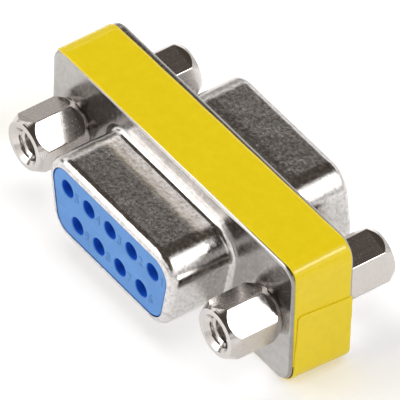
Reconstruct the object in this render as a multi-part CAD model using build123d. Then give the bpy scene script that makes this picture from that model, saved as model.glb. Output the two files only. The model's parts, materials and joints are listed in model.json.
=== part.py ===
from build123d import *
import os
from math import cos, sin, tan, radians

# Nine-contact D-shaped adapter with a socket face on both sides.
# Frame: +Z up, X along the long side, Y along the mating direction.
# The numbered face with the wide row on top looks towards -Y.
# Origin: centre of the footprint, on the lowest face (the part stands on the
# long edge of its middle band). Millimetres.

# ---------------------------------------------------------------- dimensions
PITCH = 2.77            # contact spacing in a row
ROW = 2.84              # distance between the two rows
POST_X = 12.495         # fixing posts, half of 24.99

BODY_T = 5.80           # flange face to flange face
SHELL_LEN = 5.75        # D shell in front of its flange
FLANGE_W, FLANGE_H = 31.30, 12.06
FLANGE_R = 1.70         # corner radius of the flange outline
SHEET = 0.45            # plated sheet steel
EDGE_R = 0.30           # bend between flange and skirt

SHELL_W, SHELL_H, SHELL_R = 16.30, 7.74, 2.40   # outside of the D shell
D_ANGLE = 10.0          # lean of the D's ends
RIM_R = 0.70            # rounded front rim
LIP = 0.74              # how far the rim turns in to meet the insulator
MOUTH_R = 1.68          # corner radius of the rim's mouth
ROOT_R = 0.68           # concave bend where shell meets flange

NOSE_GAP = 0.04         # clearance insulator to shell
LAND_BACK = 0.04        # moulded face behind the rim's front
LAND_CHAMFER = 0.10     # broken edge round the moulded face
HOLE_R = 0.75           # contact hole in the moulding
HOLE_CHAMFER = 0.07
INS_FLANGE_W, INS_FLANGE_H = 20.6, 9.9

SOCKET_R = 0.53         # takes a 1.02 mm pin
BARREL_R = 0.68
SOCKET_MOUTH = 7.30     # distance of the socket mouth from the middle plane
SOCKET_FLOOR = 3.00
SLIT = 0.20
STRIP_T, STRIP_W = 0.36, 0.74

HEX_AF = 4.40           # across flats
HEX_LEN = 4.85
HEX_END_R = 2.05        # radius of the turned end face
HEX_CHAMFER = 0.84      # length of the turned chamfer at the corners
THREAD_MINOR_R = 1.125  # 4-40 internal thread, tapped hole
THREAD_MAJOR_R = 1.42   # 4-40 major
SINK_R = 1.62           # countersink at the thread mouth
TAP_DEPTH = 4.30
STUD_IN_NUT = 1.80
POST_HOLE_R = 1.56      # hole in each flange
PHI_FRONT = 80.0        # angle of a hexagon corner above +X
PHI_REAR = 46.0

TAPE_T = 0.10           # thickness of the label film
TAPE_FRONT, TAPE_REAR = -2.66, 2.44
TAPE_LAP = 0.10         # second layer on the right-hand end
TAPE_SEAM = 1.10        # height of its cut end above the mating axis

ZC = FLANGE_H / 2 + TAPE_T          # mating axis above the resting face
YF = -BODY_T / 2                    # front flange face
FACE_Y = YF - SHELL_LEN             # front rim

os.makedirs("parts", exist_ok=True)

# contact numbers, front view: 5 4 3 2 1 on top, 9 8 7 6 below
CONTACTS = {}
for i in range(5):
    CONTACTS[5 - i] = (-2 * PITCH + i * PITCH, 1)
for i in range(4):
    CONTACTS[9 - i] = (-1.5 * PITCH + i * PITCH, -1)


# ------------------------------------------------------------------- helpers
def at(y):
    """Sketch plane normal to Y at that y, local x = X, local y = Z, on the
    mating axis. Its normal points to -Y."""
    return Plane(origin=(0, y, ZC), x_dir=(1, 0, 0), z_dir=(0, -1, 0))


def d_corners(w, h, r):
    """Sharp corners of the D whose rounded outline is w wide and h high."""
    c, s = cos(radians(D_ANGLE)), sin(radians(D_ANGLE))
    cx = w / 2 - r
    d = c * cx - s * (h / 2 - r) + r
    xt = (d + s * h / 2) / c
    xb = (d - s * h / 2) / c
    return [(-xt, h / 2), (xt, h / 2), (xb, -h / 2), (-xb, -h / 2)]


def d_face(w, h, r):
    with BuildSketch() as sk:
        Polygon(*d_corners(w, h, r), align=None)
        fillet(sk.vertices(), r)
    return sk.sketch


def rect_face(w, h, r):
    with BuildSketch() as sk:
        RectangleRounded(w, h, r)
    return sk.sketch


def slab(face, y0, y1):
    """Prism of a face between two y values, y0 < y1."""
    return extrude(at(y1) * face, y1 - y0)


def disc(x, z, r, y0, y1):
    return slab(Pos(x, z) * Circle(r), y0, y1)


def cone(x, z, r0, r1, y0, y1):
    """Frustum along Y: radius r0 at y0, r1 at y1."""
    a = at(y0) * Pos(x, z) * Circle(r0)
    b = at(y1) * Pos(x, z) * Circle(r1)
    return loft([a, b])


def turned_over(shape):
    """Half turn about X through the middle of the body: y -> -y, z -> 2 ZC - z."""
    return shape.rotate(Axis((0, 0, ZC), (1, 0, 0)), 180)


def one_solid(shape):
    s = shape.solids()
    assert len(s) == 1, len(s)
    return s[0]


# ------------------------------------------------------------------ housings
def shell_of(inner_offset):
    """Outside (0) or inside (SHEET) of the drawn D shell, as a solid nose with
    its rounded rim, from the flange's back to the rim."""
    o = inner_offset
    w, h = SHELL_W - 2 * o, SHELL_H - 2 * o
    r = SHELL_R - o
    y0 = FACE_Y + o
    nose = slab(d_face(w, h, r), y0, YF + SHEET)
    rim = RIM_R - o if RIM_R > o else 0
    if rim > 0.05:
        front = nose.faces().sort_by(Axis.Y)[0]
        nose = fillet(front.edges(), rim)
    return nose


def drawn_half(skirts):
    """Flange, D shell and skirt of one half, before its holes, facing -Y."""
    plate = slab(rect_face(FLANGE_W, FLANGE_H, FLANGE_R), YF, YF + SHEET)
    body = plate + skirts
    # rounded bend around the flange's face
    edge = [
        e
        for e in body.edges()
        if abs(e.center().Y - YF) < 1e-4 and e.bounding_box().size.Y < 1e-4
    ]
    body = fillet(edge, EDGE_R)
    body = body + shell_of(0.0)
    # concave root bend between shell and flange
    root = []
    for e in body.edges():
        bb = e.bounding_box()
        if (
            abs(e.center().Y - YF) < 1e-4
            and bb.size.Y < 1e-4
            and abs(e.center().X) < SHELL_W / 2 + 0.3
            and abs(e.center().Z - ZC) < SHELL_H / 2 + 0.3
        ):
            root.append(e)
    body = fillet(root, ROOT_R)
    # hollow of the shell
    body = body - shell_of(SHEET)
    mouth = d_face(SHELL_W - 2 * LIP, SHELL_H - 2 * LIP, MOUTH_R)
    body = body - slab(mouth, FACE_Y - 0.5, FACE_Y + 1.0)
    # inside bend where the sheet turns from flange into shell
    flare = d_face(SHELL_W - 2 * SHEET + 0.5, SHELL_H - 2 * SHEET + 0.5, SHELL_R - SHEET + 0.25)
    throat = loft(
        [
            at(YF + 0.20) * d_face(SHELL_W - 2 * SHEET, SHELL_H - 2 * SHEET, SHELL_R - SHEET),
            at(YF + SHEET) * flare,
        ]
    )
    body = body - throat
    for x in (-POST_X, POST_X):
        body = body - disc(x, 0, POST_HOLE_R, YF - 1, YF + 1)
    return body


def ring(w, h, r, t, y0, y1):
    return slab(rect_face(w, h, r), y0, y1) - slab(
        rect_face(w - 2 * t, h - 2 * t, max(r - t, 0.3)), y0 - 0.1, y1 + 0.1
    )


# front half: its skirt is the outside of the middle body
FRONT_SKIRT_END = 2.10
front_skirt = ring(FLANGE_W, FLANGE_H, FLANGE_R, SHEET, YF, FRONT_SKIRT_END)
front_housing = one_solid(drawn_half(front_skirt))

# rear half: a short rim, then a step in, then a tongue that slides into the
# front half's skirt. Built facing -Y and turned over.
STEP = SHEET + 0.06
rear_rim = ring(FLANGE_W, FLANGE_H, FLANGE_R, SHEET + STEP, YF, -FRONT_SKIRT_END - 0.06)
rear_tongue = ring(
    FLANGE_W - 2 * STEP, FLANGE_H - 2 * STEP, FLANGE_R - STEP, SHEET, YF, 0.90
)
rear_housing = one_solid(turned_over(drawn_half(rear_rim + rear_tongue)))


# ---------------------------------------------------------------- insulators
def insulator(front=True):
    """Blue moulding of one half, facing -Y: a D nose that fills the shell and
    a wider base behind the flange, with a hole and a jog slot per contact."""
    g = NOSE_GAP
    o = SHEET + g
    # main nose under the rolled rim
    body = slab(
        d_face(SHELL_W - 2 * o, SHELL_H - 2 * o, SHELL_R - o),
        FACE_Y + SHEET + g,
        YF + SHEET + g,
    )
    front_face = body.faces().sort_by(Axis.Y)[0]
    body = chamfer(front_face.edges(), 0.24)
    # land that fills the mouth of the rim, its face just inside the rim's
    m = LIP + g
    land = slab(
        d_face(SHELL_W - 2 * m, SHELL_H - 2 * m, MOUTH_R - g),
        FACE_Y + LAND_BACK,
        FACE_Y + SHEET + g + 0.5,
    )
    front_face = land.faces().sort_by(Axis.Y)[0]
    land = chamfer(front_face.edges(), LAND_CHAMFER)
    body = body + land
    base = slab(
        rect_face(INS_FLANGE_W, INS_FLANGE_H, 1.2), YF + SHEET + 0.02, -0.01
    )
    body = body + base
    # contact holes, and half a slot for each flat jog strip
    for n, (x, row) in CONTACTS.items():
        z = row * ROW / 2
        body = body - disc(x, z, HOLE_R, FACE_Y - 1, 1)
        body = body - cone(
            x, z, HOLE_R + HOLE_CHAMFER, HOLE_R, FACE_Y + LAND_BACK - 0.01, FACE_Y + LAND_BACK + HOLE_CHAMFER
        )
        w = STRIP_W + 0.06
        hz = ROW / 2 + 0.62
        slot = slab(
            Pos(x, 0) * RectangleRounded(w, 2 * hz, 0.2),
            -STRIP_T / 2 - 0.02,
            0.5,
        )
        body = body - slot
    return body


front_insulator = one_solid(insulator())
rear_insulator = one_solid(turned_over(insulator()))


# ------------------------------------------------------------------ contacts
def barrel(x, z):
    """Slotted socket barrel facing -Y."""
    b = disc(x, z, BARREL_R, -SOCKET_MOUTH, -STRIP_T / 2)
    mouth = [
        e
        for e in b.edges()
        if abs(e.center().Y + SOCKET_MOUTH) < 1e-4 and e.bounding_box().size.Y < 1e-4
    ]
    b = chamfer(mouth, 0.05)
    b = b - disc(x, z, SOCKET_R, -SOCKET_MOUTH - 1, -SOCKET_FLOOR)
    b = b - cone(
        x, z, SOCKET_R + 0.08, SOCKET_R, -SOCKET_MOUTH, -SOCKET_MOUTH + 0.12
    )
    cut = slab(
        Pos(x, z) * Rectangle(2 * BARREL_R + 0.4, SLIT), -SOCKET_MOUTH - 1, -SOCKET_FLOOR - 0.9
    )
    return b - cut


def contact(n):
    """Front socket in one row, rear socket in the other, joined by a flat jog,
    so that each number meets the same number on the far side."""
    x, row = CONTACTS[n]
    z = row * ROW / 2
    strip = slab(
        Pos(x, 0) * RectangleRounded(STRIP_W, ROW + 2 * 0.56, 0.17), -STRIP_T / 2, STRIP_T / 2
    )
    return one_solid(barrel(x, z) + strip + turned_over(barrel(x, z)))


# --------------------------------------------------------------------- posts
def hexagon(x, phi, y0, y1):
    """Hexagonal bar with turned, chamfered ends."""
    r = HEX_AF / 2 / cos(radians(30))
    pts = [
        (x + r * cos(radians(phi + 60 * k)), r * sin(radians(phi + 60 * k)))
        for k in range(6)
    ]
    bar = slab(Polygon(*pts, align=None), y0, y1)
    # a body of revolution trims the corners at both ends
    turn = (
        cone(x, 0, HEX_END_R, r, y0, y0 + HEX_CHAMFER)
        + disc(x, 0, r + 0.01, y0 + HEX_CHAMFER, y1 - HEX_CHAMFER)
        + cone(x, 0, r, HEX_END_R, y1 - HEX_CHAMFER, y1)
    )
    return bar & turn


def jack_post(x):
    """Front post: tapped hole in its end, long stud through the body."""
    y0, y1 = YF - HEX_LEN, YF
    p = hexagon(x, PHI_FRONT, y0, y1)
    p = p - disc(x, 0, THREAD_MINOR_R, y0 - 1, y0 + TAP_DEPTH)
    p = p - cone(x, 0, SINK_R, THREAD_MINOR_R, y0, y0 + (SINK_R - THREAD_MINOR_R) * 0.9)
    end = -YF + STUD_IN_NUT
    stud = disc(x, 0, THREAD_MAJOR_R - 0.01, y1 - 0.2, end - 0.25) + cone(
        x, 0, THREAD_MAJOR_R - 0.01, THREAD_MAJOR_R - 0.26, end - 0.25, end
    )
    return one_solid(p + stud)


def jack_nut(x):
    """Rear post: a threaded hexagonal sleeve screwed on the stud."""
    y0, y1 = -YF, -YF + HEX_LEN
    p = hexagon(x, PHI_REAR, y0, y1)
    p = p - disc(x, 0, THREAD_MAJOR_R, y0 - 1, y0 + STUD_IN_NUT + 0.15)
    p = p - disc(x, 0, THREAD_MINOR_R, y0, y1 + 1)
    p = p - cone(x, 0, THREAD_MINOR_R, SINK_R, y1 - (SINK_R - THREAD_MINOR_R) * 0.9, y1)
    return one_solid(p)


# --------------------------------------------------------------------- label
def label():
    """Adhesive tape wound once round the skirt, its end lapped over its start
    on the right-hand end face."""
    w, h = FLANGE_W, FLANGE_H
    tape = slab(
        rect_face(w + 2 * TAPE_T, h + 2 * TAPE_T, FLANGE_R + TAPE_T), TAPE_FRONT, TAPE_REAR
    ) - slab(rect_face(w, h, FLANGE_R), TAPE_FRONT - 1, TAPE_REAR + 1)
    x0 = w / 2 + TAPE_T
    z0, z1 = -h / 2 + FLANGE_R, TAPE_SEAM
    lap = slab(
        Pos(x0 + TAPE_LAP / 2 - 0.01, (z0 + z1) / 2) * Rectangle(TAPE_LAP + 0.02, z1 - z0),
        TAPE_FRONT + 0.30,
        TAPE_REAR,
    )
    return one_solid(tape + lap)


# --------------------------------------------------------------------- write
NODES = {
    "front_housing": front_housing,
    "rear_housing": rear_housing,
    "front_insulator": front_insulator,
    "rear_insulator": rear_insulator,
    "jack_post_left": jack_post(-POST_X),
    "jack_post_right": jack_post(POST_X),
    "jack_nut_left": jack_nut(-POST_X),
    "jack_nut_right": jack_nut(POST_X),
    "label_tape": label(),
}
for n in sorted(CONTACTS):
    NODES[f"contact_{n}"] = contact(n)

for name, shape in NODES.items():
    export_step(shape, f"parts/{name}.step")
    print(name, round(shape.volume, 3), shape.is_valid)
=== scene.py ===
import json
from math import atan2, cos, floor, hypot, pi, radians, sin, sqrt, tan

import bmesh
import bpy
from mathutils import Matrix, Vector


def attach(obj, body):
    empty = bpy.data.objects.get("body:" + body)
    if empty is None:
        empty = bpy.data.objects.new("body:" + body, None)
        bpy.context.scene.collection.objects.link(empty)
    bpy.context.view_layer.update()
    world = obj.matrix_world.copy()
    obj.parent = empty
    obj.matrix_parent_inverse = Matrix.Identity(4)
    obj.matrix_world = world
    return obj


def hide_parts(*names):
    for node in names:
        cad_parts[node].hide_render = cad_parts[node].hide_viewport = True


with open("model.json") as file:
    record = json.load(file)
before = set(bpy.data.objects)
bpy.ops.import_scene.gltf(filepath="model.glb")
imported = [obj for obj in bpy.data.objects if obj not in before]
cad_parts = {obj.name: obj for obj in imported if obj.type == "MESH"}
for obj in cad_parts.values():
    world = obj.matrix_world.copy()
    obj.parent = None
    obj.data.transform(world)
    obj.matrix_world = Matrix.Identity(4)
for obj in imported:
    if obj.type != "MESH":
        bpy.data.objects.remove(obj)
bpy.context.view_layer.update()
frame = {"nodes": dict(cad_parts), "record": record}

MM = 0.001

# ------------------------------------------------------------------ dimensions
ZC = 6.13                     # mating axis above the floor
YF = 2.90                     # half of the body's thickness
SHELL_LEN = 5.75
FACE = YF + SHELL_LEN
FLANGE_W, FLANGE_H = 31.30, 12.06
CORNERS = (1.40, 1.80, 1.80, 1.90)   # flange corner radii: right top, left top, left low, right low
SHEET = 0.45
EDGE_R = 0.30
LEFT_ROLL = 0.22
SHELL_W, SHELL_H, SHELL_R = 16.30, 7.74, 2.40
LEAN = 10.0
RIM_R = 0.70
LIP = 0.74
MOUTH_R = 1.68
LAND_BACK = 0.04
ROOT_R = 0.53
WAIST, WAIST_FROM, WAIST_RUN = 0.044, 1.75, 1.10   # shallow step down of the shell before its root bend
POST_X = 12.495
PITCH, ROW = 2.77, 2.84
HEX_AF, HEX_LEN = 4.40, 4.85
HEX_END_R, HEX_CHAMFER = 2.05, 0.84
MINOR_R, MAJOR_R, SINK_R = 1.125, 1.41, 1.62
THREAD_PITCH = 0.635
PHI_FRONT, PHI_REAR = 80.0, 46.0
FILM = 0.095                  # the label film, just under its CAD thickness

record_slots = [m["slot"] for m in frame["record"]["materials"]]


# ------------------------------------------------------------- node helpers
def new_material(name):
    m = bpy.data.materials.new(name)
    m.use_nodes = True
    nt = m.node_tree
    nt.nodes.clear()
    out = nt.nodes.new("ShaderNodeOutputMaterial")
    bsdf = nt.nodes.new("ShaderNodeBsdfPrincipled")
    nt.links.new(bsdf.outputs["BSDF"], out.inputs["Surface"])
    return m, nt, bsdf


def link(nt, a, b):
    nt.links.new(a, b)


def coords(nt, scale=(1, 1, 1), offset=(0, 0, 0)):
    tc = nt.nodes.new("ShaderNodeTexCoord")
    mp = nt.nodes.new("ShaderNodeMapping")
    mp.inputs["Scale"].default_value = scale
    mp.inputs["Location"].default_value = offset
    link(nt, tc.outputs["Object"], mp.inputs["Vector"])
    return mp.outputs["Vector"]


def noise(nt, vec, scale, detail=3.0, rough=0.55, distortion=0.0):
    n = nt.nodes.new("ShaderNodeTexNoise")
    n.inputs["Scale"].default_value = scale
    n.inputs["Detail"].default_value = detail
    n.inputs["Roughness"].default_value = rough
    n.inputs["Distortion"].default_value = distortion
    link(nt, vec, n.inputs["Vector"])
    return n.outputs["Fac"]


def voronoi(nt, vec, scale, feature="F1"):
    n = nt.nodes.new("ShaderNodeTexVoronoi")
    n.feature = feature
    n.inputs["Scale"].default_value = scale
    link(nt, vec, n.inputs["Vector"])
    return n.outputs["Distance"]


def ramp(nt, fac, stops):
    r = nt.nodes.new("ShaderNodeValToRGB")
    e = r.color_ramp.elements
    while len(e) > len(stops):
        e.remove(e[-1])
    while len(e) < len(stops):
        e.new(0.5)
    for el, (p, c) in zip(e, stops):
        el.position = p
        el.color = (*c, 1.0) if len(c) == 3 else c
    link(nt, fac, r.inputs["Fac"])
    return r.outputs["Color"]


def map_range(nt, v, a, b, c, d, smooth=False):
    n = nt.nodes.new("ShaderNodeMapRange")
    if smooth:
        n.interpolation_type = "SMOOTHSTEP"
    n.inputs["From Min"].default_value = a
    n.inputs["From Max"].default_value = b
    n.inputs["To Min"].default_value = c
    n.inputs["To Max"].default_value = d
    link(nt, v, n.inputs["Value"])
    return n.outputs["Result"]


def mathn(nt, op, a, b=None):
    n = nt.nodes.new("ShaderNodeMath")
    n.operation = op
    for i, v in enumerate((a, b)):
        if v is None:
            continue
        if isinstance(v, (int, float)):
            n.inputs[i].default_value = v
        else:
            link(nt, v, n.inputs[i])
    return n.outputs[0]


def bump(nt, height, strength, distance, normal=None):
    b = nt.nodes.new("ShaderNodeBump")
    b.inputs["Strength"].default_value = strength
    b.inputs["Distance"].default_value = distance
    link(nt, height, b.inputs["Height"])
    if normal is not None:
        link(nt, normal, b.inputs["Normal"])
    return b.outputs["Normal"]


# ---------------------------------------------------------------- materials
def sheet_metal():
    """Bright plated sheet: sandy crystalline grain, light frosted specks and
    slow ripples."""
    m, nt, p = new_material("plated_sheet_look")
    v = coords(nt)
    p.inputs["Metallic"].default_value = 1.0
    grain = noise(nt, v, 3100.0, 5.0, 0.78)
    sand = noise(nt, coords(nt, (1, 1, 1), (0.37, 0.11, 0.23)), 3300.0, 4.0, 0.72)
    patch = noise(nt, v, 1150.0, 3.0, 0.62, 0.4)
    slow = noise(nt, v, 260.0, 2.0, 0.5)
    col = ramp(nt, patch, [(0.32, (0.585, 0.562, 0.548)), (0.52, (0.63, 0.610, 0.597)), (0.70, (0.67, 0.653, 0.642))])
    # the drawn shells are sandy, the flange is smoother; the flange is also painted darker than the shells, painted
    # shade for the dimmer reflections it shows
    sep = nt.nodes.new("ShaderNodeSeparateXYZ")
    link(nt, v, sep.inputs["Vector"])
    near = map_range(nt, mathn(nt, "ABSOLUTE", sep.outputs["Y"]), 0.00290, 0.00298, 0.0, 1.0, True)
    spread = nt.nodes.new("ShaderNodeMixRGB")
    link(nt, map_range(nt, near, 0.0, 1.0, 0.35, 1.0), spread.inputs["Fac"])
    spread.inputs["Color1"].default_value = (0.95, 0.95, 0.95, 1.0)
    link(nt, ramp(nt, sand, [(0.36, (0.74, 0.73, 0.72)), (0.50, (0.97, 0.97, 0.97)), (0.64, (1.08, 1.08, 1.08))]), spread.inputs["Color2"])
    mix = nt.nodes.new("ShaderNodeMixRGB")
    mix.blend_type = "MULTIPLY"
    mix.inputs["Fac"].default_value = 1.0
    link(nt, col, mix.inputs["Color1"])
    link(nt, spread.outputs["Color"], mix.inputs["Color2"])
    # painted shade: flange face darkened to 0.80, its rounded edge and the skirt to 0.56, the shells left as they are
    painted_flange_shade = nt.nodes.new("ShaderNodeMixRGB")
    painted_flange_shade.blend_type = "MULTIPLY"
    painted_flange_shade.inputs["Fac"].default_value = 1.0
    link(nt, mix.outputs["Color"], painted_flange_shade.inputs["Color1"])
    roll = map_range(nt, mathn(nt, "ABSOLUTE", sep.outputs["Y"]), 0.00286, 0.002899, 0.0, 0.5, True)
    step = mathn(nt, "ADD", roll, mathn(nt, "MULTIPLY", near, 0.5))
    link(nt, ramp(nt, step, [(0.0, (0.56, 0.55, 0.545)), (0.5, (0.80, 0.795, 0.79)), (1.0, (1.0, 1.0, 1.0))]), painted_flange_shade.inputs["Color2"])
    link(nt, painted_flange_shade.outputs["Color"], p.inputs["Base Color"])
    r1 = map_range(nt, patch, 0.35, 0.70, 0.11, 0.17)
    r2 = map_range(nt, sand, 0.50, 0.66, 0.0, 0.11, True)
    link(nt, mathn(nt, "ADD", r1, r2), p.inputs["Roughness"])
    crisp = map_range(nt, grain, 0.30, 0.70, 0.0, 1.0)
    n1 = bump(nt, slow, 0.10, 0.00030)
    n2 = bump(nt, patch, 0.08, 0.00008, n1)
    n3 = bump(nt, crisp, 0.22, 0.000022, n2)
    link(nt, n3, p.inputs["Normal"])
    return m


def post_metal(name, x0):
    """Nickel plated turned post: faint drawn lines along it, tool rings on its ends."""
    m, nt, p = new_material(name)
    p.inputs["Metallic"].default_value = 1.0
    v = coords(nt)
    drawn = noise(nt, coords(nt, (1.0, 0.10, 1.0)), 5200.0, 3.0, 0.6)
    speck = noise(nt, v, 5200.0, 3.0, 0.65)
    slow = noise(nt, v, 420.0, 2.0, 0.5)
    patch = noise(nt, v, 1300.0, 3.0, 0.6)
    col = ramp(nt, speck, [(0.32, (0.545, 0.508, 0.482)), (0.58, (0.58, 0.546, 0.524)), (0.78, (0.61, 0.582, 0.564))])
    link(nt, col, p.inputs["Base Color"])
    # rings round the post's own axis, on the turned ends and chamfers only
    sub = nt.nodes.new("ShaderNodeVectorMath")
    sub.operation = "SUBTRACT"
    sub.inputs[1].default_value = (x0 * MM, 0.0, ZC * MM)
    link(nt, v, sub.inputs[0])
    flat = nt.nodes.new("ShaderNodeVectorMath")
    flat.operation = "MULTIPLY"
    flat.inputs[1].default_value = (1.0, 0.0, 1.0)
    link(nt, sub.outputs["Vector"], flat.inputs[0])
    ln = nt.nodes.new("ShaderNodeVectorMath")
    ln.operation = "LENGTH"
    link(nt, flat.outputs["Vector"], ln.inputs[0])
    sep = nt.nodes.new("ShaderNodeSeparateXYZ")
    link(nt, v, sep.inputs["Vector"])
    away = mathn(nt, "ABSOLUTE", sep.outputs["Y"])
    ends = mathn(nt, "MAXIMUM", map_range(nt, away, 0.00690, 0.00705, 0.0, 1.0), map_range(nt, away, 0.00375, 0.00360, 0.0, 1.0))
    flats = mathn(nt, "ADD", map_range(nt, drawn, 0.35, 0.7, 0.23, 0.27), map_range(nt, speck, 0.5, 0.8, 0.0, 0.05))
    link(nt, mathn(nt, "MULTIPLY", flats, map_range(nt, ends, 0.0, 1.0, 1.0, 0.50)), p.inputs["Roughness"])
    rings = mathn(nt, "MULTIPLY", mathn(nt, "SINE", mathn(nt, "MULTIPLY", ln.outputs["Value"], 84000.0)), ends)
    n1 = bump(nt, slow, 0.10, 0.00020)
    n2 = bump(nt, patch, 0.10, 0.00004, n1)
    n3 = bump(nt, drawn, 0.03, 0.000012, n2)
    n4 = bump(nt, rings, 0.30, 0.000004, n3)
    n5 = bump(nt, speck, 0.07, 0.000010, n4)
    link(nt, n5, p.inputs["Normal"])
    return m


def label_film():
    """Yellow film: even colour with a trace of mottle under a thin clear gloss."""
    m, nt, p = new_material("yellow_label_look")
    v = coords(nt)
    mott = noise(nt, v, 1500.0, 4.0, 0.6)
    slow = noise(nt, v, 120.0, 2.0, 0.5)
    base = ramp(nt, mott, [(0.30, (0.680, 0.512, 0.005)), (0.55, (0.704, 0.534, 0.007)), (0.75, (0.728, 0.556, 0.010))])
    link(nt, base, p.inputs["Base Color"])
    link(nt, map_range(nt, mott, 0.3, 0.75, 0.44, 0.54), p.inputs["Roughness"])
    p.inputs["Specular IOR Level"].default_value = 0.05
    p.inputs["Coat Weight"].default_value = 0.50
    p.inputs["Coat Roughness"].default_value = 0.03
    n1 = bump(nt, slow, 0.06, 0.00020)
    n2 = bump(nt, noise(nt, v, 2600.0, 2.0, 0.5), 0.05, 0.000008, n1)
    link(nt, n2, p.inputs["Normal"])
    link(nt, n2, p.inputs["Coat Normal"])
    return m


def blue_moulding(name, k=1.0):
    """Glass-filled blue moulding: soft sheen, slight flow mottle, finely pitted;
    painted shade: deeper and darker navy, with less sheen, inside the contact holes and round the edge. k darkens the
    whole colour."""
    m, nt, p = new_material(name)
    v = coords(nt)
    flow = noise(nt, coords(nt, (0.6, 1.0, 1.4)), 420.0, 4.0, 0.6, 0.6)
    grain = noise(nt, v, 5200.0, 3.0, 0.6)
    base = ramp(nt, flow, [(0.30, (0.048 * k, 0.188 * k, 0.475 * k)), (0.52, (0.058 * k, 0.210 * k, 0.515 * k)), (0.75, (0.071 * k, 0.236 * k, 0.555 * k))])
    sep = nt.nodes.new("ShaderNodeSeparateXYZ")
    link(nt, v, sep.inputs["Vector"])
    depth = map_range(nt, mathn(nt, "ABSOLUTE", sep.outputs["Y"]), 0.00849, 0.00859, 0.0, 1.0)
    # painted shade: the parts behind the face (hole walls, the edge) take a deep navy and less sheen
    mix = nt.nodes.new("ShaderNodeMixRGB")
    link(nt, depth, mix.inputs["Fac"])
    mix.inputs["Color1"].default_value = (0.013, 0.115, 0.62, 1.0)
    link(nt, base, mix.inputs["Color2"])
    link(nt, mix.outputs["Color"], p.inputs["Base Color"])
    link(nt, map_range(nt, grain, 0.3, 0.75, 0.40, 0.56), p.inputs["Roughness"])
    link(nt, map_range(nt, depth, 0.0, 1.0, 0.10, 0.50), p.inputs["Specular IOR Level"])
    n1 = bump(nt, flow, 0.10, 0.00008)
    n2 = bump(nt, grain, 0.25, 0.000012, n1)
    link(nt, n2, p.inputs["Normal"])
    return m


def contact_metal():
    m, nt, p = new_material("contact_metal_look")
    v = coords(nt)
    n = noise(nt, v, 3000.0, 4.0, 0.6)
    link(nt, ramp(nt, n, [(0.3, (0.72, 0.48, 0.17)), (0.7, (0.90, 0.68, 0.30))]), p.inputs["Base Color"])
    p.inputs["Metallic"].default_value = 1.0
    link(nt, map_range(nt, n, 0.3, 0.7, 0.18, 0.34), p.inputs["Roughness"])
    link(nt, bump(nt, n, 0.15, 0.00001), p.inputs["Normal"])
    return m


SHEET_LOOK = sheet_metal()
POST_LOOK = {-1: post_metal("plated_post_left_look", -POST_X), 1: post_metal("plated_post_right_look", POST_X)}
LABEL_LOOK = label_film()
BLUE_LOOK = blue_moulding("blue_moulding_look")
# the numbers' copy of the blue is darkened to 0.80: painted shade for the shading of their raised strokes
NUMBER_SHADED_LOOK = blue_moulding("number_painted_shade_look", 0.80)
CONTACT_LOOK = contact_metal()


# -------------------------------------------------------------- ring helpers
def outline(arcs, na, ns, eps=0.05):
    """Closed outline through arcs (cx, cz, r, a0, a1 in degrees). The straight
    stretches get a support point near each end and ns - 1 between."""
    pts = []
    k = len(arcs)
    for i, (cx, cz, r, a0, a1) in enumerate(arcs):
        for j in range(na + 1):
            a = radians(a0 + (a1 - a0) * j / na)
            pts.append((cx + r * cos(a), cz + r * sin(a)))
        nx, nz, r2, b0, _ = arcs[(i + 1) % k]
        q = (nx + r2 * cos(radians(b0)), nz + r2 * sin(radians(b0)))
        p = pts[-1]
        length = hypot(q[0] - p[0], q[1] - p[1])
        ts = [eps / length] + [eps / length + (1 - 2 * eps / length) * j / ns for j in range(1, ns)] + [1 - eps / length]
        for t in ts:
            pts.append((p[0] + (q[0] - p[0]) * t, p[1] + (q[1] - p[1]) * t))
    return pts


def d_outline(w, h, r, na=18, ns=20):
    c, s = cos(radians(LEAN)), sin(radians(LEAN))
    cx, cz = w / 2 - r, h / 2 - r
    d = c * cx - s * cz + r
    bx = (d - r - s * cz) / c
    return outline([(cx, cz, r, -LEAN, 90), (-cx, cz, r, 90, 180 + LEAN), (-bx, -cz, r, 180 + LEAN, 270), (bx, -cz, r, 270, 360 - LEAN)], na, ns)


def rect_outline(w, h, inset, na=14, ns=20):
    """Flange outline w by h, moved in by inset, with its four corner radii."""
    a, b = w / 2 - inset, h / 2 - inset
    r = [max(c - inset, 0.35) for c in CORNERS]
    return outline([(a - r[0], b - r[0], r[0], 0, 90), (-a + r[1], b - r[1], r[1], 90, 180),
                    (-a + r[2], -b + r[2], r[2], 180, 270), (a - r[3], -b + r[3], r[3], 270, 360)], na, ns)


def circle_outline(x, z, r, n=40):
    return [(x + r * cos(2 * pi * i / n), z + r * sin(2 * pi * i / n)) for i in range(n)]


def add_ring(bm, pts, y, flip):
    """Points of a front-facing outline at distance y in front of (negative) the
    middle plane. flip turns the half over for the rear side."""
    if flip:
        return [bm.verts.new((x * MM, -y * MM, (ZC - z) * MM)) for x, z in pts]
    return [bm.verts.new((x * MM, y * MM, (ZC + z) * MM)) for x, z in pts]


def skin(bm, a, b):
    n = len(a)
    for i in range(n):
        bm.faces.new((a[i], a[(i + 1) % n], b[(i + 1) % n], b[i]))


def loop_edges(bm, ring):
    n = len(ring)
    return [bm.edges.get((ring[i], ring[(i + 1) % n])) or bm.edges.new((ring[i], ring[(i + 1) % n])) for i in range(n)]


def planar_fill(bm, *rings):
    edges = [e for r in rings for e in loop_edges(bm, r)]
    bmesh.ops.triangle_fill(bm, use_beauty=True, use_dissolve=False, edges=edges)


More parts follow.
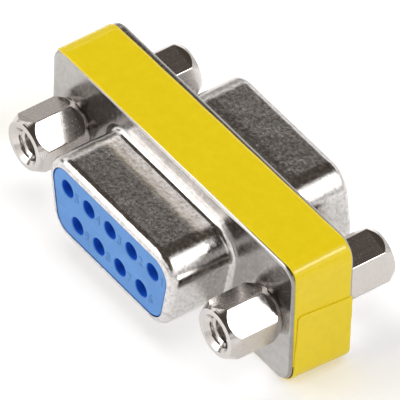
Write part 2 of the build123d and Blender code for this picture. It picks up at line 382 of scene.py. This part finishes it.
def to_object(bm, name, material, nodes=(), sharp=38.0, recalc=True):
    if recalc:
        bmesh.ops.recalc_face_normals(bm, faces=bm.faces)
    for f in bm.faces:
        f.smooth = True
    lim = radians(sharp)
    for e in bm.edges:
        if len(e.link_faces) == 2 and e.calc_face_angle(0.0) > lim:
            e.smooth = False
    me = bpy.data.meshes.new(name)
    bm.to_mesh(me)
    bm.free()
    me.materials.append(material)
    o = bpy.data.objects.new(name, me)
    bpy.context.scene.collection.objects.link(o)
    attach(o, "root")
    if nodes:
        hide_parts(*nodes)
    return o


# ------------------------------------------------------------------ housings
def d_ring(o):
    """Size of the D outline at offset o from the outside of the shell."""
    if o >= -RIM_R:
        return SHELL_W + 2 * o, SHELL_H + 2 * o, SHELL_R + o
    t = min(1.0, (-o - RIM_R) / (LIP - RIM_R))
    return SHELL_W + 2 * o, SHELL_H + 2 * o, (SHELL_R - RIM_R) * (1 - t) + MOUTH_R * t


def housing(name, node, flip, skirt):
    bm = bmesh.new()
    # inside: throat, inner wall, inside of the rim, mouth
    prof = [(-SHEET + 0.25, -YF + SHEET), (-SHEET, -YF + 0.20), (-SHEET, -YF + 0.14), (-SHEET, -FACE + RIM_R + 0.04), (-SHEET, -FACE + RIM_R)]
    ri = RIM_R - SHEET
    for j in range(1, 6):
        t = radians(90 * j / 5)
        prof.append((-SHEET - ri + ri * cos(t), -FACE + SHEET + ri - ri * sin(t)))
    prof += [(-LIP, -FACE + SHEET), (-LIP, -FACE + SHEET - 0.03), (-LIP, -FACE + 0.05)]
    for j in range(1, 4):
        t = radians(90 * j / 3)
        prof.append((-LIP + 0.025 - 0.025 * cos(t), -FACE + 0.025 - 0.025 * sin(t)))
    # rounded rim, wall, root bend
    n = 14
    for j in range(n + 1):
        t = radians(90 * j / n)
        prof.append((-RIM_R + RIM_R * sin(t), -FACE + RIM_R - RIM_R * cos(t)))
    y_a, y_b = -FACE + RIM_R, -YF - ROOT_R
    y_w = y_b - WAIST_FROM
    prof += [(0.0, y_a + 0.04)] + [(0.0, y_a + (y_w - y_a) * k / 4) for k in range(1, 5)]
    for j in range(1, 13):
        t = j / 12
        prof.append((-WAIST * t * t * (3 - 2 * t), y_w + WAIST_RUN * t))
    prof += [(-WAIST, (y_w + WAIST_RUN + y_b) / 2), (-WAIST, y_b - 0.03), (-WAIST, y_b)]
    for j in range(1, n + 1):
        t = radians(90 * j / n)
        prof.append((-WAIST + ROOT_R - ROOT_R * cos(t), y_b + ROOT_R * sin(t)))
    prof.append((-WAIST + ROOT_R + 0.04, -YF))
    rings = [add_ring(bm, d_outline(*d_ring(o)), y, flip) for o, y in prof]
    for a, b in zip(rings, rings[1:]):
        skin(bm, a, b)
    # flange edge and skirt
    sk = [(EDGE_R + 0.04, -YF, 1.0)]
    for j in range(9):
        t = radians(90 * j / 8)
        sk.append((EDGE_R - EDGE_R * sin(t), -YF + EDGE_R - EDGE_R * cos(t), 1 - sin(t)))
    sk += [(i, y, 0.0) for i, y in skirt] + [(skirt[-1][0], -YF + SHEET, 0.0)]

    def eased(pts, k):
        """The left-hand end rolls over in a wider curve than the other three."""
        out = []
        for x, z in pts:
            t = min(1.0, max(0.0, (-x - FLANGE_W / 2 + 1.6) / 1.6))
            out.append((x + LEFT_ROLL * k * t * t * (3 - 2 * t), z))
        return out

    outer = [add_ring(bm, eased(rect_outline(FLANGE_W, FLANGE_H, i), k), y, flip) for i, y, k in sk]
    for a, b in zip(outer, outer[1:]):
        skin(bm, a, b)
    holes = []
    for x in (-POST_X, POST_X):
        f = add_ring(bm, circle_outline(x, 0, 1.56), -YF, flip)
        b = add_ring(bm, circle_outline(x, 0, 1.56), -YF + SHEET, flip)
        skin(bm, f, b)
        holes.append((f, b))
    planar_fill(bm, rings[-1], outer[0], holes[0][0], holes[1][0])
    planar_fill(bm, rings[0], outer[-1], holes[0][1], holes[1][1])
    return to_object(bm, name, SHEET_LOOK, [node])


STEP = SHEET + 0.06
front_shell = housing("front_shell", "front_housing", False,
                      [(0.0, -YF + EDGE_R + 0.04), (0.0, 2.07), (0.03, 2.10), (SHEET, 2.10)])
rear_shell = housing("rear_shell", "rear_housing", True,
                     [(0.0, -YF + EDGE_R + 0.04), (0.0, -2.19), (0.03, -2.16), (STEP, -2.16), (STEP, 0.90), (STEP + SHEET, 0.90)])


# --------------------------------------------------------------------- posts
def hex_outline(phi):
    """Hexagon with its corners rounded, centred on 0."""
    rc = 0.15
    a = HEX_AF / 2 - rc
    cr = a / cos(radians(30))
    arcs = [(cr * cos(radians(phi + 60 * k)), cr * sin(radians(phi + 60 * k)), rc, phi + 60 * k - 30, phi + 60 * k + 30) for k in range(6)]
    return outline(arcs, 6, 14, 0.03)


def post(name, node, side, flip, phi, depth):
    """Hexagonal post with chamfered ends and a real internal thread."""
    bm = bmesh.new()
    x0 = side * POST_X
    pts = hex_outline(phi)
    slope = HEX_CHAMFER / (HEX_AF / 2 / cos(radians(30)) - HEX_END_R)
    n = len(pts)

    def ring_at(f):
        return add_ring_list([f(x, z) for x, z in pts])

    def add_ring_list(p3):
        out = []
        for x, z, d in p3:  # d: distance from the flange outwards
            y = -(YF + d)
            if flip:
                out.append(bm.verts.new(((x0 + x) * MM, -y * MM, (ZC - z) * MM)))
            else:
                out.append(bm.verts.new(((x0 + x) * MM, y * MM, (ZC + z) * MM)))
        return out

    def on_circle(r, d):
        return ring_at(lambda x, z: (x / hypot(x, z) * r, z / hypot(x, z) * r, d))

    def on_hex(g):
        return ring_at(lambda x, z: (x, z, g(max(0.0, (hypot(x, z) - HEX_END_R) * slope))))

    def chamfer_mid(k, g):
        def f(x, z):
            r = hypot(x, z)
            rr = HEX_END_R + (r - HEX_END_R) * k
            return (x / r * rr, z / r * rr, g((rr - HEX_END_R) * slope))
        return ring_at(f)

    L = HEX_LEN
    rings = [on_circle(SINK_R + 0.06, L)]
    rings.append(on_circle(HEX_END_R - 0.05, L))
    rings.append(on_circle(HEX_END_R - 0.01, L - 0.008))
    rings.append(on_circle(HEX_END_R + 0.03, L - 0.03))
    rings += [chamfer_mid(k, lambda t: L - t) for k in (0.35, 0.7, 0.97)]
    rings.append(on_hex(lambda t: L - t))
    rings.append(on_hex(lambda t: L - t - 0.05))
    rings += [on_hex(lambda t, k=k: HEX_CHAMFER + (L - 2 * HEX_CHAMFER) * k) for k in (0.8, 0.6, 0.4, 0.2)]
    rings.append(on_hex(lambda t: t + 0.05))
    rings.append(on_hex(lambda t: t))
    rings += [chamfer_mid(k, lambda t: t) for k in (0.97, 0.7, 0.35)]
    rings.append(on_circle(HEX_END_R + 0.03, 0.03))
    rings.append(on_circle(HEX_END_R - 0.02, 0.0))
    for a, b in zip(rings, rings[1:]):
        skin(bm, a, b)

    # internal thread, a grid in angle and depth, right-handed
    na, per = 72, 12
    nd = int(depth / THREAD_PITCH * per)

    def grid(r_of, d_of, nd):
        g = []
        for j in range(nd + 1):
            row = []
            for i in range(na):
                a = 2 * pi * i / na
                d = depth_list[j]
                row.append((r_of(a, d) * cos(a), r_of(a, d) * sin(a), d_of(d)))
            g.append(add_ring_list(row))
        return g

    def tooth(u):
        """60 degree thread profile, 0 at the root and 1 at the crest, flats on both."""
        u = u - floor(u)
        v = abs(2 * u - 1)
        return min(1.0, max(0.0, (v - 0.12) / 0.70))

    def r_thread(a, d):
        t = tooth(d / THREAD_PITCH + (a if not flip else -a) / (2 * pi))
        r = MAJOR_R + (MINOR_R - MAJOR_R) * t
        return max(r, SINK_R - d / 0.9)

    depth_list = [depth * j / nd for j in range(nd + 1)]
    g = grid(r_thread, lambda d: L - d, nd)
    for a, b in zip(g, g[1:]):
        skin(bm, a, b)
    planar_fill(bm, rings[0], g[0])
    tip = add_ring_list([(0.35 * cos(2 * pi * i / na), 0.35 * sin(2 * pi * i / na), L - depth - 0.25) for i in range(na)])
    skin(bm, g[-1], tip)
    bm.faces.new(tip)

    if not flip:
        # the stud through the body, with its own thread
        end = 2 * YF + 1.80

        def r_stud(a, d):
            t = tooth(d / THREAD_PITCH - a / (2 * pi))
            r = 1.13 + (MAJOR_R - 1.13) * (1 - t)
            return min(r, 1.13 + max(0.0, end - d) * 1.0)

        nd2 = int(end / THREAD_PITCH * 8)
        depth_list = [end * j / nd2 for j in range(nd2 + 1)]
        g2 = grid(r_stud, lambda d: -d, nd2)
        for a, b in zip(g2, g2[1:]):
            skin(bm, a, b)
        planar_fill(bm, rings[-1], g2[0])
        bm.faces.new(g2[-1])
    else:
        # blind hole over the stud
        c0 = add_ring_list([(MAJOR_R * cos(2 * pi * i / na), MAJOR_R * sin(2 * pi * i / na), 0.0) for i in range(na)])
        c1 = add_ring_list([(MAJOR_R * cos(2 * pi * i / na), MAJOR_R * sin(2 * pi * i / na), 1.85) for i in range(na)])
        planar_fill(bm, rings[-1], c0)
        skin(bm, c0, c1)
        bm.faces.new(c1)
    return to_object(bm, name, POST_LOOK[side], [node], sharp=32.0)


posts = [
    post("front_post_left", "jack_post_left", -1, False, PHI_FRONT, 4.05),
    post("front_post_right", "jack_post_right", 1, False, PHI_FRONT, 4.05),
    # the rear ones are built turned over, so their corner angle changes sign
    post("rear_post_left", "jack_nut_left", -1, True, -PHI_REAR, 2.65),
    post("rear_post_right", "jack_nut_right", 1, True, -PHI_REAR, 2.65),
]


# --------------------------------------------------------------------- label
# corner radii of the film, at its front and at its rear edge
FILM_R = ((1.00, 1.40), (1.80, 1.80), (1.80, 1.80), (1.95, 1.45))


def tape():
    """Tape wound once round the skirt. It starts low on the right-hand end,
    goes up, over the top, round the left end and the bottom, and laps over its
    start up to mid height."""
    w, h = FLANGE_W / 2, FLANGE_H / 2
    start, seam = -h + 2.25, 1.10
    steps = [(0, 18), (1, 12), (2, 44), (3, 12), (4, 14), (5, 12), (6, 44), (7, 16), (8, 20)]

    def place(seg, t, v):
        """Point, normal at t along a stretch, v across the film."""
        r = [a + (b - a) * v for a, b in FILM_R]
        if seg in (1, 3, 5, 7):
            k = seg // 2
            cx = (1, -1, -1, 1)[k] * (w - r[k])
            cz = (1, 1, -1, -1)[k] * (h - r[k])
            a = radians((0, 90, 180, 270)[k] + 90 * t)
            return cx + r[k] * cos(a), cz + r[k] * sin(a), cos(a), sin(a)
        p, q, nx, nz = {
            0: ((w, start), (w, h - r[0]), 1, 0),
            2: ((w - r[0], h), (-w + r[1], h), 0, 1),
            4: ((-w, h - r[1]), (-w, -h + r[2]), -1, 0),
            6: ((-w + r[2], -h), (w - r[3], -h), 0, -1),
            8: ((w, -h + r[3]), (w, seam), 1, 0),
        }[seg]
        return p[0] + (q[0] - p[0]) * t, p[1] + (q[1] - p[1]) * t, nx, nz

    def ease(t):
        t = min(1.0, max(0.0, t))
        return t * t * (3 - 2 * t)

    bm = bmesh.new()
    rows = []
    for seg, n in steps:
        for j in range(n + 1):
            if j == 0 and seg != 0:
                continue
            t = j / n
            x, z, nx, nz = place(seg, t, 0.5)
            u = (x + w) / (2 * w)
            front, rear = -2.93 + 0.25 * u, 2.20 + 0.38 * u
            back = ease((t - 0.15) / 0.75) if seg == 3 else 1.0 if seg in (4, 5) else 0.0
            lift = 0.0
            if seg >= 6:
                front, rear = -2.93 + 0.30 * u, 2.20 + 0.46 * u
                back = 1.0 - ease(t / 0.3) if seg == 6 else 0.0
            front += 0.55 * back
            if seg == 7:
                lift = ease((t - 0.15) / 0.75)
            if seg == 8:
                lift = 1.0
                up = ease(t)
                front, rear = -2.63 + 0.24 * up, 2.66 + 0.07 * up
                # rounded end corners of the tape
                left = (1 - t) * (seam + h - 1.7)
                if left < 0.30:
                    back = 0.30 - sqrt(max(0.0, 0.09 - (0.30 - left) ** 2))
                    front += back * 0.8
                    rear -= back * 0.25
            s = seg * 7.0 + t * n * 0.35
            front += 0.010 * sin(s * 1.7)
            rear += 0.012 * sin(s * 2.3 + 1)
            b = 0.03
            base = lift * (FILM + 0.003)
            sec = [(0.0, front), (FILM - b, front), (FILM - 0.3 * b, front + 0.3 * b), (FILM, front + b), (FILM, front + 0.10), (FILM, front + 0.22),
                   (FILM, front + 0.40), (FILM, front * 0.5 + rear * 0.5), (FILM, rear - 0.35), (FILM, rear - b), (FILM - 0.3 * b, rear - 0.3 * b),
                   (FILM - b, rear), (0.0, rear), (0.0, front * 0.5 + rear * 0.5), (0.0, front + 0.40), (0.0, front + 0.20)]
            row = []
            for o, y in sec:
                v = (y + 2.7) / 5.2
                px, pz, mx, mz = place(seg, t, v)
                if seg == 8:   # the cut end leans
                    pz -= 0.115 * (y - 0.25) * ease((t - 0.4) / 0.6)
                over = max(0.0, -YF + EDGE_R - y)   # past the start of the flange's rounded edge
                off = base + o - 1.0 * over * over
                row.append(bm.verts.new(((px + mx * off) * MM, y * MM, (ZC + pz + mz * off) * MM)))
            rows.append(row)
    for a, b in zip(rows, rows[1:]):
        n = len(a)
        for i in range(n):
            bm.faces.new((a[i], a[(i + 1) % n], b[(i + 1) % n], b[i]))
    bm.faces.new(rows[0])
    bm.faces.new(rows[-1][::-1])
    return to_object(bm, "label_winding", LABEL_LOOK, ["label_tape"], sharp=50.0)


label = tape()


# ------------------------------------------------------------------- numbers
CONTACTS = {}
for i in range(5):
    CONTACTS[5 - i] = (-2 * PITCH + i * PITCH, 1)
for i in range(4):
    CONTACTS[9 - i] = (-1.5 * PITCH + i * PITCH, -1)


def numbers(name, flip):
    """Small raised contact numbers moulded beside the holes."""
    bm = bmesh.new()
    for n, (x, row) in CONTACTS.items():
        cu = bpy.data.curves.new(f"glyph_{n}", "FONT")
        cu.body = str(n)
        cu.size = 1.30 * MM
        cu.extrude = 0.022 * MM
        cu.bevel_depth = 0.010 * MM
        cu.offset = -0.004 * MM
        cu.align_x, cu.align_y = "CENTER", "CENTER"
        tmp = bpy.data.objects.new(f"glyph_{n}", cu)
        me = bpy.data.meshes.new_from_object(tmp)
        x_n = x + 1.24
        z_n = row * ROW / 2 - 0.12
        turn = Matrix.Rotation(radians(90), 4, "X")
        move = Matrix.Translation(Vector((x_n * MM, -(FACE - LAND_BACK - 0.006) * MM, z_n * MM)))
        over = Matrix.Rotation(radians(180), 4, "X") if flip else Matrix.Identity(4)
        me.transform(Matrix.Translation(Vector((0, 0, ZC * MM))) @ over @ move @ turn)
        bm.from_mesh(me)
        bpy.data.objects.remove(tmp)
        bpy.data.curves.remove(cu)
        bpy.data.meshes.remove(me)
    # the numbers use the darkened copy of the blue, painted shade
    return to_object(bm, name, NUMBER_SHADED_LOOK, recalc=False)


numbers("front_numbers", False)
numbers("rear_numbers", True)

# ------------------------------------------------ carried-over CAD nodes' looks
for node, o in frame["nodes"].items():
    look = BLUE_LOOK if node.endswith("insulator") else CONTACT_LOOK if node.startswith("contact_") else SHEET_LOOK
    if not o.material_slots:
        o.data.materials.append(look)
    for s in o.material_slots:
        s.material = look

# ------------------------------------------------------------------ the stage
def floor_material():
    m, nt, p = new_material("floor_look")
    v = coords(nt)
    n = noise(nt, v, 60.0, 3.0, 0.5)
    link(nt, ramp(nt, n, [(0.3, (0.86, 0.86, 0.86)), (0.7, (0.88, 0.88, 0.88))]), p.inputs["Base Color"])
    p.inputs["Roughness"].default_value = 0.8
    p.inputs["Specular IOR Level"].default_value = 0.05
    # painted light: the floor glows, least under the object, more round its foot and far out, less past its right-hand
    # end and far on the left, to lift its shadows and set what the metal reflects
    p.inputs["Emission Color"].default_value = (1.0, 1.0, 1.0, 1.0)
    sep = nt.nodes.new("ShaderNodeSeparateXYZ")
    link(nt, v, sep.inputs["Vector"])
    past_x = mathn(nt, "SUBTRACT", mathn(nt, "ABSOLUTE", sep.outputs["X"]), 0.0150)
    past_y = mathn(nt, "SUBTRACT", mathn(nt, "ABSOLUTE", sep.outputs["Y"]), 0.0026)
    past = mathn(nt, "MAXIMUM", past_x, past_y)
    near = map_range(nt, past, -0.0020, 0.0008, 0.07, 0.26, True)
    foot = map_range(nt, past, 0.0004, 0.0060, 0.26, 0.0, True)
    right_end = map_range(nt, sep.outputs["X"], 0.0125, 0.0165, 1.0, 0.10, True)
    left_end = map_range(nt, sep.outputs["X"], -0.0215, -0.0165, 0.35, 1.0, True)
    far = map_range(nt, past, 0.0030, 0.0180, 0.0, 0.20, True)
    # painted light near the object, shaped by place
    close = mathn(nt, "MULTIPLY", mathn(nt, "ADD", near, foot), mathn(nt, "MULTIPLY", right_end, left_end))
    link(nt, mathn(nt, "ADD", close, far), p.inputs["Emission Strength"])
    return m


me = bpy.data.meshes.new("floor")
S = 3.0
me.from_pydata([(-S, -S, 0), (S, -S, 0), (S, S, 0), (-S, S, 0)], [], [(0, 1, 2, 3)])
floor = bpy.data.objects.new("floor", me)
me.materials.append(floor_material())
bpy.context.scene.collection.objects.link(floor)


def soft_box(name, direction, distance, width, height, radiance, color=(1, 1, 1)):
    """Rectangular area light that faces the object. radiance is its brightness
    as seen in a mirror."""
    li = bpy.data.lights.new(name, "AREA")
    li.shape = "RECTANGLE"
    li.size, li.size_y = width, height
    li.energy = radiance * width * height * pi * 4 / 4
    li.color = color
    o = bpy.data.objects.new(name, li)
    d = Vector(direction).normalized()
    o.location = Vector((0, 0, ZC * MM)) + d * distance
    o.rotation_mode = "QUATERNION"
    o.rotation_quaternion = d.to_track_quat("Z", "Y")
    bpy.context.scene.collection.objects.link(o)
    o.visible_camera = False
    return o


core = soft_box("key_core", (0.60, 0.43, 0.67), 0.9, 0.22, 0.22, 11.0)
core.visible_diffuse = False
top = soft_box("ceiling_glow", (0.05, -0.05, 1.0), 1.2, 0.9, 0.9, 2.3)
top.visible_glossy = False

world = bpy.data.worlds.new("studio")
bpy.context.scene.world = world
world.use_nodes = True
nt = world.node_tree
nt.nodes.clear()
wo = nt.nodes.new("ShaderNodeOutputWorld")
seen = nt.nodes.new("ShaderNodeBackground")
seen.inputs["Color"].default_value = (1.0, 1.0, 1.0, 1)
around = nt.nodes.new("ShaderNodeBackground")
tc = nt.nodes.new("ShaderNodeTexCoord")
nrm = nt.nodes.new("ShaderNodeVectorMath")
nrm.operation = "NORMALIZE"
link(nt, tc.outputs["Generated"], nrm.inputs[0])


def lobe(direction, inner, outer):
    """1 within inner degrees of a direction, 0 beyond outer degrees."""
    dot = nt.nodes.new("ShaderNodeVectorMath")
    dot.operation = "DOT_PRODUCT"
    dot.inputs[1].default_value = Vector(direction).normalized()
    link(nt, nrm.outputs["Vector"], dot.inputs[0])
    return map_range(nt, dot.outputs["Value"], cos(radians(outer)), cos(radians(inner)), 0.0, 1.0, True)


def over(below, color, fac):
    mix = nt.nodes.new("ShaderNodeMixRGB")
    link(nt, fac, mix.inputs["Fac"])
    if isinstance(below, tuple):
        mix.inputs["Color1"].default_value = (*below, 1.0)
    else:
        link(nt, below, mix.inputs["Color1"])
    mix.inputs["Color2"].default_value = (*color, 1.0)
    return mix.outputs["Color"]


# pale walls, a dark ceiling above them and a dark gap in front on the right
sep = nt.nodes.new("ShaderNodeSeparateXYZ")
link(nt, nrm.outputs["Vector"], sep.inputs["Vector"])
wall = ramp(nt, map_range(nt, sep.outputs["Z"], 0.0, 0.5, 0.0, 1.0), [(0.0, (0.66, 0.645, 0.635)), (1.0, (1.42, 1.40, 1.38))])
tone = over(wall, (0.092, 0.077, 0.065), map_range(nt, sep.outputs["Z"], 0.55, 0.645, 0.0, 1.0, True))
tone = over(tone, (0.12, 0.105, 0.10), lobe((0.62, -0.47, 0.63), 14.0, 27.0))
# large soft lights: the key high behind on the right, two fills in front on the left; darker gaps beside them
tone = over(tone, (2.4, 2.38, 2.36), lobe((0.62, 0.43, 0.65), 14.0, 30.0))
tone = over(tone, (1.9, 1.9, 1.92), lobe((-0.58, -0.76, 0.28), 18.0, 30.0))
tone = over(tone, (3.9, 3.88, 3.86), lobe((-0.56, -0.67, 0.49), 15.0, 21.5))
tone = over(tone, (0.56, 0.535, 0.515), lobe((-0.885, 0.436, 0.161), 12.0, 26.0))
tone = over(tone, (0.14, 0.13, 0.11), lobe((-0.885, -0.436, 0.161), 6.0, 15.0))
link(nt, tone, around.inputs["Color"])
lp = nt.nodes.new("ShaderNodeLightPath")
mx = nt.nodes.new("ShaderNodeMixShader")
link(nt, lp.outputs["Is Camera Ray"], mx.inputs["Fac"])
link(nt, around.outputs["Background"], mx.inputs[1])
link(nt, seen.outputs["Background"], mx.inputs[2])
link(nt, mx.outputs["Shader"], wo.inputs["Surface"])

# ----------------------------------------------------------------- the camera
AZ, EL, ROLL = radians(52.83), radians(43.78), radians(1.71)
PX_PER_MM, CX, CY, DIST = 13.0635, 200.745, 199.416, 1000.0 / 1.2
back = Vector((sin(AZ) * cos(EL), -cos(AZ) * cos(EL), sin(EL)))
right = Vector((cos(AZ), sin(AZ), 0.0))
up = back.cross(right)
right2 = right * cos(ROLL) + up * sin(ROLL)
up2 = up * cos(ROLL) - right * sin(ROLL)
aim = Vector((0, 0, ZC)) - right2 * ((CX - 200.0) / PX_PER_MM) + up2 * ((CY - 200.0) / PX_PER_MM)
cam = bpy.data.cameras.new("camera")
cam.sensor_fit = "AUTO"
cam.sensor_width = 36.0
cam.lens = 36.0 * PX_PER_MM * DIST / 400.0
cam.clip_start, cam.clip_end = 0.05, 20.0
cam_ob = bpy.data.objects.new("camera", cam)
cam_ob.matrix_world = Matrix.Translation((aim + back * DIST) * MM) @ Matrix((right2, up2, back)).transposed().to_4x4()
bpy.context.scene.collection.objects.link(cam_ob)
bpy.context.scene.camera = cam_ob
bpy.context.scene.view_settings.view_transform = "Standard"
